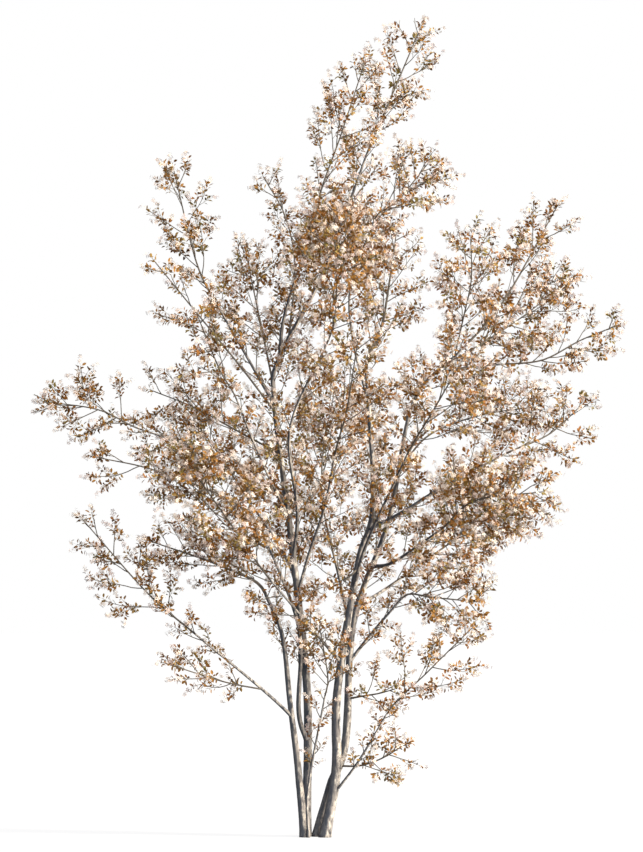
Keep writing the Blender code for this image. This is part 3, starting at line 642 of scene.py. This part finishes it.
def tube(points, radii, sides):
    """A tapered tube along points, its rings carried along without twisting, with closed ends."""
    headings = unit(np.gradient(points, axis=0))
    side_axis = across(headings[0])
    angles = np.arange(sides) * (2.0 * math.pi / sides)
    rings = []
    for centre, heading, radius in zip(points, headings, radii):
        side_axis = unit(side_axis - heading * side_axis.dot(heading))
        other_axis = np.cross(heading, side_axis)
        radius = np.broadcast_to(radius, (sides,))[:, None]
        rings.append(centre + radius * (np.cos(angles)[:, None] * side_axis
                                        + np.sin(angles)[:, None] * other_axis))
    verts = np.concatenate(rings)
    here = np.arange(sides)
    following = (here + 1) % sides
    ring_faces = np.concatenate((np.column_stack((here, following, following + sides)),
                                 np.column_stack((here, following + sides, here + sides))))
    starts = np.arange(len(points) - 1) * sides
    faces = (ring_faces[None] + starts[:, None, None]).reshape(-1, 3)
    fan = np.column_stack((np.zeros(sides - 2, int), np.arange(1, sides - 1), np.arange(2, sides)))
    end = fan + (len(points) - 1) * sides
    return verts, np.concatenate((faces, fan[:, ::-1], end))


def bark_radii(spine, shares, sides, seed):
    """The radius at every corner of a limb's rings: taper, flare lobes, swellings and furrows."""
    angles = np.arange(sides) * (2.0 * math.pi / sides)
    rows = []
    for share in shares:
        radius = spine.radius(share)
        along = share * spine.length
        lobes = LOBE_DEPTH * spine.flare(share) * np.cos(FLARE_LOBES * angles)
        swelling = SWELLING_SHARE * noise.noise(Vector((seed, along * SWELLING_RATE, 0.0)))
        relief = []
        for angle in angles:
            around = Vector((math.cos(angle) * AROUND_RATE, math.sin(angle) * AROUND_RATE, seed))
            furrow_shift = Vector((0.0, 0.0, along * FURROW_RATE_ALONG))
            grain_shift = Vector((0.0, 0.0, along * GRAIN_RATE_ALONG))
            furrow = noise.noise(around * FURROW_RATE + furrow_shift)
            grain = noise.noise(around * GRAIN_RATE + grain_shift)
            relief.append(furrow + GRAIN_SHARE * grain)
        depth = min(RELIEF_LIMIT, RELIEF_SHARE * radius)
        collar = 0.0 if spine.grounded else COLLAR_SHARE * math.exp(-along / COLLAR_LENGTH)
        rows.append(radius * (1.0 + lobes + swelling + collar) + depth * np.array(relief))
    return rows


def build_bark(limb, spine, number, material):
    """Replaces a limb's solid by a tube with the bark's relief, level with the ground at its foot."""
    trunk = limb in TRUNKS
    step = TRUNK_RING_STEP if trunk else BOUGH_RING_STEP
    sides = TRUNK_SIDES if trunk else BOUGH_SIDES
    shares = np.linspace(0.0, 1.0, max(LEAST_RINGS, round(spine.length / step)))
    points = np.array([spine.point(share) for share in shares])
    verts, faces = tube(points, bark_radii(spine, shares, sides, NOISE_OFFSET * number), sides)
    if spine.grounded:
        verts[:sides, 2] = 0.0
        verts[:, 2] = np.maximum(verts[:, 2], 0.0)
    shapes = Shapes()
    shapes.add(verts, faces, 0)
    made = shapes.make("bark_" + limb.name, [material], smooth=True)
    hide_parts(limb.name)


def grow_path(start, heading, length, lift, rng):
    """Points of a shoot that bends upward and wanders a little as it grows."""
    count = max(2, round(length / PATH_STEP))
    points = [start]
    for _ in range(count):
        heading = unit(heading + UP * (lift / count) + rng.normal(0.0, PATH_WANDER, 3))
        points.append(points[-1] + heading * (length / count))
    return np.array(points)


def lean_off(heading, angle, lean):
    """A heading that leans off another one, at an angle round it."""
    side = turned(across(heading), heading, angle)
    return unit(heading * math.cos(lean) + side * math.sin(lean))


class Growth:
    """The shoots of a mass or a limb as they grow, and the place and heading of each spray."""

    def __init__(self, spaces, fits, shapes, seed):
        self.spaces = spaces
        self.fits = fits
        self.shapes = shapes
        self.rng = np.random.default_rng(seed)
        self.places, self.headings = [], []

    def fill_mass(self, mass, spine):
        """Draws a mass's stem and grows its twigs to the rim of its room."""
        shares = np.linspace(0.0, 1.0, max(LEAST_STEM_POINTS, round(spine.length / PATH_STEP)))
        stem = np.array([spine.point(share) for share in shares])
        end = stem[-1] + spine.heading(1.0) * END_SHOOT
        radii = np.linspace(spine.foot_radius, spine.tip_radius, len(stem))
        radii = np.append(radii, GRADES[-1].radius)
        self.shapes.add(*tube(np.vstack((stem, end)), radii, STEM_SIDES), TWIG_LOOK)
        self.places.append(end)
        self.headings.append(spine.heading(1.0))
        fullness = FULLNESS.get(mass.name, 1.0)
        wanted = fullness * spine.length * (1.0 - mass.bare) / GRADES[0].step
        count = max(LEAST_TWIGS, round(wanted))
        for shoot in range(count):
            share = mass.bare + (1.0 - mass.bare) * ((shoot + 0.5) / count) ** SHOOTS_LOW
            room = mass.reach * room_share(mass, share)
            length = room / math.sin(GRADES[0].lean) * self.rng.uniform(*TWIG_LENGTHS)
            self.add_shoot(spine, share, shoot, length, 0)

    def clothe_limb(self, spine, start, longest):
        """Grows side shoots on a limb from a share of its length upward, none over the longest."""
        count = round(spine.length * (1.0 - start) / LIMB_SHOOT_STEP)
        for shoot in range(count):
            share = start + (1.0 - start) * (shoot + 0.5) / count
            length = longest * self.rng.uniform(*LIMB_SHOOT_LENGTHS)
            self.add_shoot(spine, share, shoot, length, 0)

    def add_shoot(self, parent, share, shoot, length, rank):
        """Grows a side shoot as far as it fits, then the finer shoots upon it."""
        grade = GRADES[rank]
        turn = shoot * GOLDEN_ANGLE + self.rng.uniform(-TURN_SPREAD, TURN_SPREAD)
        lean = grade.lean + self.rng.uniform(-LEAN_SPREAD, LEAN_SPREAD)
        heading = lean_off(parent.heading(share), turn, lean)
        length = min(max(length, grade.least), grade.most)
        path = grow_path(parent.point(share), heading, length, grade.lift, self.rng)
        fits = self.fits(path[1:])
        kept = len(fits) if fits.all() else int(np.argmin(fits))
        if kept == 0:
            return
        path = path[:kept + 1]
        radii = np.linspace(grade.radius, TAPER * grade.radius, len(path))
        self.shapes.add(*tube(path, radii, grade.sides), grade.look)
        self.add_spray(path[-1], unit(path[-1] - path[-2]))
        if rank + 1 == len(GRADES):
            return
        finer = GRADES[rank + 1]
        spine = Spine(path, grade.radius, TAPER * grade.radius)
        start = max(finer.step, BARE_SHARE * spine.length)
        for number, place in enumerate(np.arange(start, spine.length, finer.step)):
            left = (spine.length - place) * SIDE_SHARE * self.rng.uniform(*SIDE_LENGTHS)
            self.add_shoot(spine, place / spine.length, number, left, rank + 1)

    def add_spray(self, place, heading):
        """Adds a spray at a shoot's end unless it is crowded or would reach past the solids."""
        reach = np.array([place, place + heading * SPRAY_LENGTH])
        apart = min((np.linalg.norm(other - place) for other in self.places), default=math.inf)
        if apart > SPRAY_SPACING and self.spaces.in_box(reach).all():
            self.places.append(place)
            self.headings.append(heading)


def spray_frames(headings, rng):
    """Three axes for each spray: two across it, at a random turn, then its heading."""
    count = len(headings)
    headings = unit(headings + rng.normal(0.0, SPRAY_WANDER, (count, 3)))
    sides = unit(np.cross(headings, unit(rng.normal(0.0, 1.0, (count, 3)))))
    return sides, np.cross(headings, sides), headings


def directions(frames, turn, opening):
    """Unit vectors opened from each spray's heading by an angle, at a turn round it."""
    sides, others, headings = frames
    turn, opening = turn[:, None], opening[:, None]
    return (headings * np.cos(opening)
            + (sides * np.cos(turn) + others * np.sin(turn)) * np.sin(opening))


# A leaf's outline as shares of its length: along, across and up. Its midrib is folded down, and
# the last face is its stalk
LEAF_VERTS = np.array((
    (0.30, 0.0, 0.0), (0.65, 0.0, -0.04), (1.0, 0.0, -0.11),
    (0.50, 0.16, 0.03), (0.76, 0.17, 0.01), (0.50, -0.16, 0.03), (0.76, -0.17, 0.01),
    (0.0, 0.0, 0.0), (0.31, 0.015, 0.0), (0.31, -0.015, 0.0),
))
LEAF_FACES = np.array((
    (0, 1, 3), (3, 1, 4), (4, 1, 2), (0, 5, 1), (5, 6, 1), (6, 2, 1), (7, 9, 8),
))
# A petal's outline, a narrow strap, cupped forward
PETAL_VERTS = np.array((
    (0.05, 0.0, 0.0), (0.60, 0.23, 0.10), (1.0, 0.0, 0.06), (0.60, -0.23, 0.10),
))
PETAL_FACES = np.array(((0, 3, 1), (1, 3, 2)))
# A flower stalk's outline, a strip that narrows to a point, in half widths across
STRIP_VERTS = np.array(((0.0, 1.0, 0.0), (0.0, -1.0, 0.0), (1.0, 0.0, 0.0)))
STRIP_FACES = np.array(((0, 1, 2),))


def place_shapes(shapes, template, faces, roots, forward, normal, lengths, looks):
    """Adds one copy of a flat outline for each root, laid along its own two axes."""
    normal = unit(normal - forward * (normal * forward).sum(axis=1, keepdims=True))
    sideways = np.cross(normal, forward)
    scaled = template[None] * lengths[:, None, None]
    verts = (roots[:, None] + scaled[..., 0:1] * forward[:, None]
             + scaled[..., 1:2] * sideways[:, None] + scaled[..., 2:3] * normal[:, None])
    starts = np.arange(len(roots)) * len(template)
    every = (faces[None] + starts[:, None, None]).reshape(-1, 3)
    shapes.add(verts.reshape(-1, 3), every, np.repeat(looks, len(faces)))


def add_leaves(places, frames, shapes, rng):
    """A rosette of young leaves round each spray's foot, in one tint for the spray."""
    count = len(places)
    tints = rng.choice(len(LEAF_TINTS), size=count, p=LEAF_TINT_SHARES)
    for leaf_number in range(LEAVES_PER_SPRAY):
        grown = rng.random(count) < LEAF_SHARE_GROWN
        spread = rng.uniform(-LEAF_TURN_SPREAD, LEAF_TURN_SPREAD, count)
        turn = leaf_number * GOLDEN_ANGLE + spread
        opening = LEAF_OPENING + rng.normal(0.0, LEAF_OPENING_SPREAD, count)
        forward = directions(frames, turn, opening)
        normal = frames[2] + rng.normal(0.0, LEAF_TILT, (count, 3))
        lengths = LEAF_LENGTH * rng.uniform(*LEAF_SIZES, count)
        roots = places + frames[2] * (LEAF_SPACING * (leaf_number - LEAVES_PER_SPRAY + 1))
        place_shapes(shapes, LEAF_VERTS, LEAF_FACES, roots[grown], forward[grown], normal[grown],
                     lengths[grown], tints[grown])


def add_stalks(stalks, roots, forward, normal, lengths, half_width):
    """Thin strips for stalks, with a half width given as a share of the length."""
    strip = STRIP_VERTS * np.array((1.0, half_width, 1.0))
    looks = np.full(len(roots), STALK_LOOK)
    place_shapes(stalks, strip, STRIP_FACES, roots, forward, normal, lengths, looks)


def add_blossom(places, frames, flowers, stalks, rng):
    """A raceme of starry flowers that stands out of each spray."""
    count = len(places)
    tints = rng.choice(len(PETAL_TINTS), size=count, p=PETAL_TINT_SHARES)
    swing = rng.normal(0.0, RACEME_LEAN, (count, 1))
    lean = unit(frames[2] + frames[0] * swing - UP * RACEME_DROOP)
    length = RACEME_LENGTH * rng.uniform(*RACEME_LENGTHS, count)
    # Two crossed strips make a raceme's stalk
    for side in range(2):
        add_stalks(stalks, places, lean, frames[side], length, STALK_RADIUS / RACEME_LENGTH)
    for flower_number in range(FLOWERS_PER_SPRAY):
        grown = rng.random(count) < FLOWER_SHARE_GROWN
        share = (flower_number + FIRST_FLOWER) / FLOWERS_PER_SPRAY
        spread = rng.uniform(-FLOWER_TURN_SPREAD, FLOWER_TURN_SPREAD, count)
        turn = flower_number * GOLDEN_ANGLE + spread
        opening = (math.radians(FLOWER_DEGREES_OPEN - FLOWER_DEGREES_CLOSED * share)
                   + rng.normal(0.0, FLOWER_OPENING_SPREAD, count))
        facing = directions(frames, turn, opening)
        along = RACEME_BARE_SHARE + (1.0 - RACEME_BARE_SHARE) * share
        foot = places + lean * (length * along)[:, None]
        reach = PEDICEL_LENGTH * rng.uniform(*PEDICEL_LENGTHS, count)
        centres = foot + facing * reach[:, None]
        add_stalks(stalks, foot[grown], facing[grown], frames[2][grown] + PEDICEL_ROLL,
                   np.full(grown.sum(), PEDICEL_LENGTH),
                   PEDICEL_THINNESS * STALK_RADIUS / PEDICEL_LENGTH)
        facing = unit(facing + rng.normal(0.0, FLOWER_TILT, (count, 3)))
        side = unit(np.cross(facing, frames[0] + PETAL_ROLL * frames[1]))
        other = np.cross(facing, side)
        sizes = PETAL_LENGTH * rng.uniform(*PETAL_SIZES, count)
        for petal in range(PETALS):
            angle = 2.0 * math.pi * petal / PETALS
            forward = side * math.cos(angle) + other * math.sin(angle)
            place_shapes(flowers, PETAL_VERTS, PETAL_FACES, centres[grown], forward[grown],
                         facing[grown], sizes[grown], tints[grown])


def new_material(name, roughness):
    """A matt material, with its node tree and its shader."""
    material = bpy.data.materials.new(name)
    material.use_nodes = True
    shader = material.node_tree.nodes["Principled BSDF"]
    shader.inputs["Roughness"].default_value = roughness
    shader.inputs["Specular IOR Level"].default_value = SPECULAR
    return material, material.node_tree, shader


def add_bump(tree, shader, scale, depth):
    """Adds fine relief from noise in the piece's own coordinates, and returns their node."""
    place = tree.nodes.new("ShaderNodeTexCoord")
    grain = tree.nodes.new("ShaderNodeTexNoise")
    grain.inputs["Scale"].default_value = scale
    grain.inputs["Detail"].default_value = RELIEF_DETAIL
    bump = tree.nodes.new("ShaderNodeBump")
    bump.inputs["Distance"].default_value = depth
    bump.inputs["Strength"].default_value = RELIEF_STRENGTH
    tree.links.new(place.outputs["Object"], grain.inputs["Vector"])
    tree.links.new(grain.outputs["Fac"], bump.inputs["Height"])
    tree.links.new(bump.outputs["Normal"], shader.inputs["Normal"])
    return place


def plain_material(name, colour, roughness):
    """One base colour, with the fine relief of veins or rind."""
    material, tree, shader = new_material(name, roughness)
    shader.inputs["Base Color"].default_value = (*colour, 1.0)
    add_bump(tree, shader, VEIN_SCALE, VEIN_DEPTH)
    return material


def add_pattern(tree, place, name, scale, stretch):
    """Adds noise that is drawn out along Z, and returns its output."""
    along = tree.nodes.new("ShaderNodeMapping")
    along.inputs["Scale"].default_value = (1.0, 1.0, stretch)
    pattern = tree.nodes.new("ShaderNodeTexNoise")
    pattern.name = name
    pattern.inputs["Scale"].default_value = scale
    pattern.inputs["Detail"].default_value = LAYER_DETAIL
    tree.links.new(place.outputs["Object"], along.inputs["Vector"])
    tree.links.new(along.outputs["Vector"], pattern.inputs["Vector"])
    return pattern.outputs["Fac"]


def lay_over(tree, under, over, factor):
    """Lays a colour over a colour or over another layer's output, and returns the output."""
    mix = tree.nodes.new("ShaderNodeMix")
    mix.data_type = "RGBA"
    tree.links.new(factor, mix.inputs[MIX_FACTOR])
    if isinstance(under, tuple):
        mix.inputs[MIX_UNDER].default_value = (*under, 1.0)
    else:
        tree.links.new(under, mix.inputs[MIX_UNDER])
    mix.inputs[MIX_OVER].default_value = (*over, 1.0)
    return mix.outputs[MIX_RESULT]


def add_painted_shade(tree, place, pattern):
    """Adds the share of painted shade: full on the side of a limb away from the key sun, with an edge
    that a pattern frays.
    """
    facing = tree.nodes.new("ShaderNodeVectorMath")
    facing.operation = "DOT_PRODUCT"
    facing.inputs[1].default_value = SHADED_SIDE
    ragged = tree.nodes.new("ShaderNodeMath")
    ragged.operation = "MULTIPLY_ADD"
    ragged.inputs[1].default_value = SHADE_RAGGEDNESS
    painted_shade = tree.nodes.new("ShaderNodeMapRange")
    painted_shade.inputs["From Min"].default_value = SHADE_EDGE[0]
    painted_shade.inputs["From Max"].default_value = SHADE_EDGE[1]
    painted_shade.inputs["To Max"].default_value = SHADE_STRENGTH
    tree.links.new(place.outputs["Normal"], facing.inputs[0])
    tree.links.new(pattern, ragged.inputs[0])
    tree.links.new(facing.outputs["Value"], ragged.inputs[2])
    tree.links.new(ragged.outputs["Value"], painted_shade.inputs["Value"])
    return painted_shade.outputs["Result"]


def bark_material():
    """Smooth grey-beige bark with darker streaks, pale lichen, stains and painted shade in slate grey
    on one side.
    """
    material, tree, shader = new_material("bark", BARK_ROUGHNESS)
    place = add_bump(tree, shader, BARK_GRAIN_SCALE, BARK_GRAIN_DEPTH)
    colour = PALE_BARK
    for name, scale, stretch, (begin, full), over in BARK_LAYERS:
        pattern = add_pattern(tree, place, name, scale, stretch)
        ramp = tree.nodes.new("ShaderNodeValToRGB")
        ramp.color_ramp.elements[0].position = begin
        ramp.color_ramp.elements[1].position = full
        tree.links.new(pattern, ramp.inputs["Fac"])
        colour = lay_over(tree, colour, over, ramp.outputs["Color"])
    # Painted shade: slate grey laid over the bark on the side facing away from the key sun
    colour = lay_over(tree, colour, SHADE_SLATE, add_painted_shade(tree, place, pattern))
    tree.links.new(colour, shader.inputs["Base Color"])
    return material


def grow_region(region, spaces, spines, twigs):
    """Grows the masses and the limbs' side shoots of a region, and returns their sprays."""
    mass_numbers = {mass.name: number for number, mass in enumerate(MASSES)}
    limb_names = [limb.name for limb in TRUNKS + BOUGHS]
    places, headings = [], []
    for name in REGIONS[region]:
        number = mass_numbers[name]
        growth = Growth(spaces, partial(spaces.inside, number), twigs, number)
        growth.fill_mass(MASSES[number], spines[name])
        places += growth.places
        headings += growth.headings
    for name in LIMB_REGIONS[region]:
        start, longest = LIMB_SHOOTS.get(name, BOUGH_SHOOTS)
        seed = len(MASSES) + limb_names.index(name)
        growth = Growth(spaces, partial(spaces.clear, near=0.0), twigs, seed)
        growth.clothe_limb(spines[name], start, longest)
        places += growth.places
        headings += growth.headings
    return np.array(places), np.array(headings)


def build_foliage(spines):
    """Replaces the masses by joined twigs, leaves and blossom, one piece of each for a region."""
    spaces = Spaces(spines)
    leaf_materials = [plain_material("leaf_" + name, colour, LEAF_ROUGHNESS)
                      for name, colour in LEAF_TINTS.items()]
    petal_materials = [plain_material("petal_" + name, colour, PETAL_ROUGHNESS)
                       for name, colour in PETAL_TINTS.items()]
    twig_materials = [plain_material("twig", TWIG_COLOUR, TWIG_ROUGHNESS),
                      plain_material("twiglet", TWIGLET_COLOUR, TWIGLET_ROUGHNESS),
                      plain_material("stalk", STALK_COLOUR, STALK_ROUGHNESS)]
    for region_number, (region, names) in enumerate(REGIONS.items()):
        twigs, leaves, flowers = Shapes(), Shapes(), Shapes()
        places, headings = grow_region(region, spaces, spines, twigs)
        rng = np.random.default_rng(region_number)
        frames = spray_frames(headings, rng)
        add_leaves(places, frames, leaves, rng)
        add_blossom(places, frames, flowers, twigs, rng)
        made = twigs.make("twigs_" + region, twig_materials)
        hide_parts(*names)
        leaves.make("leaves_" + region, leaf_materials)
        flowers.make("blossom_" + region, petal_materials)


# Camera, light and floor. Each sun has its name, the way to it, its strength, its angle in
# degrees and its colour
CAMERA_DISTANCE = 20.0
CAMERA_HEIGHT = 1.7
VIEW_CENTRE = (-0.025, 0.0, 2.965)
VIEW_TALL = 6.19
WHITE = (1.0, 1.0, 1.0)
SKY_COLOUR = (0.84, 0.88, 1.0)
SKY_STRENGTH = 0.36
SUNS = (
    ("key", (1.00, -0.24, 0.33), 5.6, 4.0, (1.0, 0.91, 0.79)),
    ("fill", (0.45, -0.85, 0.34), 2.9, 50.0, (1.0, 0.94, 0.88)),
    ("back_fill", (-0.55, 0.78, 0.30), 1.1, 50.0, (0.86, 0.92, 1.0)),
)
FLOOR_RADIUS = 120.0
FLOOR_COLOUR = (0.22, 0.22, 0.22)
FLOOR_GLOW = 0.80
FLOOR_BOUNCE = (0.09, 0.10, 0.12)


def build_camera():
    """A distant view from the front, at eye height, that frames the plant as the photo does."""
    data = bpy.data.cameras.new("camera")
    camera = bpy.data.objects.new("camera", data)
    bpy.context.scene.collection.objects.link(camera)
    place = Vector((VIEW_CENTRE[0], -CAMERA_DISTANCE, CAMERA_HEIGHT))
    sight = Vector(VIEW_CENTRE) - place
    camera.location = place
    camera.rotation_euler = sight.to_track_quat("-Z", "Y").to_euler()
    data.sensor_fit = "VERTICAL"
    data.angle = 2.0 * math.atan(0.5 * VIEW_TALL / sight.length)
    bpy.context.scene.camera = camera


def build_light():
    """Soft cool light all round, a white backdrop, and the suns."""
    world = bpy.data.worlds.new("studio")
    bpy.context.scene.world = world
    world.use_nodes = True
    tree = world.node_tree
    sky = tree.nodes["Background"]
    sky.inputs["Color"].default_value = (*SKY_COLOUR, 1.0)
    sky.inputs["Strength"].default_value = SKY_STRENGTH
    backdrop = tree.nodes.new("ShaderNodeBackground")
    backdrop.inputs["Color"].default_value = (*WHITE, 1.0)
    backdrop.inputs["Strength"].default_value = 1.0
    ray = tree.nodes.new("ShaderNodeLightPath")
    mix = tree.nodes.new("ShaderNodeMixShader")
    tree.links.new(ray.outputs["Is Camera Ray"], mix.inputs[0])
    tree.links.new(sky.outputs[0], mix.inputs[1])
    tree.links.new(backdrop.outputs[0], mix.inputs[2])
    tree.links.new(mix.outputs[0], tree.nodes["World Output"].inputs["Surface"])
    for name, towards, strength, angle, colour in SUNS:
        data = bpy.data.lights.new(name, "SUN")
        data.energy = strength
        data.angle = math.radians(angle)
        data.color = colour
        lamp = bpy.data.objects.new(name, data)
        lamp.rotation_euler = Vector(towards).to_track_quat("Z", "Y").to_euler()
        bpy.context.scene.collection.objects.link(lamp)


def floor_material():
    """A pale floor that takes a shadow and throws little light back at the plant."""
    material = bpy.data.materials.new("floor")
    material.use_nodes = True
    tree = material.node_tree
    tree.nodes.remove(tree.nodes["Principled BSDF"])
    ray = tree.nodes.new("ShaderNodeLightPath")
    pale = tree.nodes.new("ShaderNodeBsdfDiffuse")
    pale.inputs["Color"].default_value = (*FLOOR_COLOUR, 1.0)
    glow = tree.nodes.new("ShaderNodeEmission")
    glow.inputs["Strength"].default_value = FLOOR_GLOW
    both = tree.nodes.new("ShaderNodeAddShader")
    dim = tree.nodes.new("ShaderNodeBsdfDiffuse")
    dim.inputs["Color"].default_value = (*FLOOR_BOUNCE, 1.0)
    mix = tree.nodes.new("ShaderNodeMixShader")
    tree.links.new(pale.outputs[0], both.inputs[0])
    tree.links.new(glow.outputs[0], both.inputs[1])
    tree.links.new(ray.outputs["Is Camera Ray"], mix.inputs[0])
    tree.links.new(dim.outputs[0], mix.inputs[1])
    tree.links.new(both.outputs[0], mix.inputs[2])
    tree.links.new(mix.outputs[0], tree.nodes["Material Output"].inputs["Surface"])
    return material


def build_floor():
    """A square floor, level with the ground at the plant's foot."""
    mesh = bpy.data.meshes.new("floor")
    corners = [(x * FLOOR_RADIUS, y * FLOOR_RADIUS, 0.0)
               for x, y in ((-1, -1), (1, -1), (1, 1), (-1, 1))]
    mesh.from_pydata(corners, [], [(0, 1, 2, 3)])
    mesh.materials.append(floor_material())
    floor = bpy.data.objects.new("floor", mesh)
    bpy.context.scene.collection.objects.link(floor)


def main():
    build_camera()
    build_light()
    build_floor()
    bpy.context.scene.view_settings.view_transform = "Standard"
    spines = trace_spines()
    bark = bark_material()
    for number, limb in enumerate(TRUNKS + BOUGHS):
        build_bark(limb, spines[limb.name], number, bark)
    build_foliage(spines)


main()
